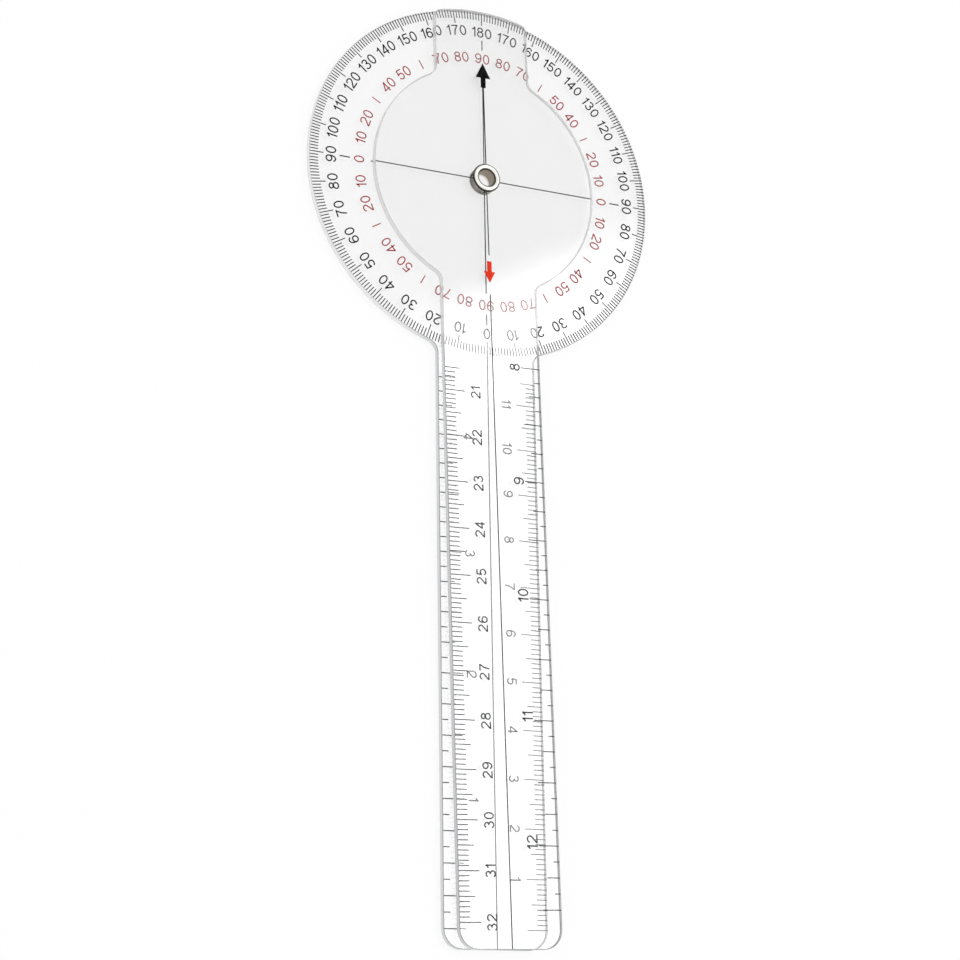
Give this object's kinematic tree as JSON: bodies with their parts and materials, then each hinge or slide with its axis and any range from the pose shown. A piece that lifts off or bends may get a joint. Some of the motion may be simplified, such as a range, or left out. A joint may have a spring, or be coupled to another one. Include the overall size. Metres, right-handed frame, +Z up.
{
  "type": "goniometer",
  "caption": "Clear plastic full-circle goniometer: a protractor disc with a fixed ruler arm, and a second ruler arm that turns on a hollow eyelet at its centre.",
  "frame": {"origin": "on the pivot axis, at the underside of the protractor plate, inside the eyelet's bore", "axes": "+Z up through the pivot, out of the printed faces; both arms lie along -Y and the dial's 180 mark is towards +Y; +X towards the fixed arm's centimetre ruler"},
  "size_m": [0.082, 0.2063, 0.0042],
  "materials": {
    "clear_plastic": "clear, polished",
    "nickel_plate": "bright nickel plating over brass",
    "black_ink": "screen-printed ink",
    "red_ink": "screen-printed ink"
  },
  "bodies": {
    "protractor": {"protractor_plate": "clear_plastic", "pivot_eyelet": "nickel_plate", "degree_ticks": "black_ink", "dial_cross_lines": "black_ink", "thirty_degree_marks": "red_ink", "fixed_arm_centre_line": "black_ink", "fixed_arm_centimetre_ticks": "black_ink", "fixed_arm_inch_ticks": "black_ink"},
    "moving_arm": {"moving_arm": "clear_plastic", "moving_arm_centre_line": "black_ink", "moving_arm_centimetre_ticks": "black_ink", "moving_arm_inch_ticks": "black_ink", "black_pointer": "black_ink", "red_pointer": "red_ink"}
  },
  "joints": [
    {"name": "arm_pivot", "type": "hinge", "parent": "protractor", "child": "moving_arm", "pos_m": [0, 0, 0], "axis": [0, 0, 1], "continuous": true}
  ]
}
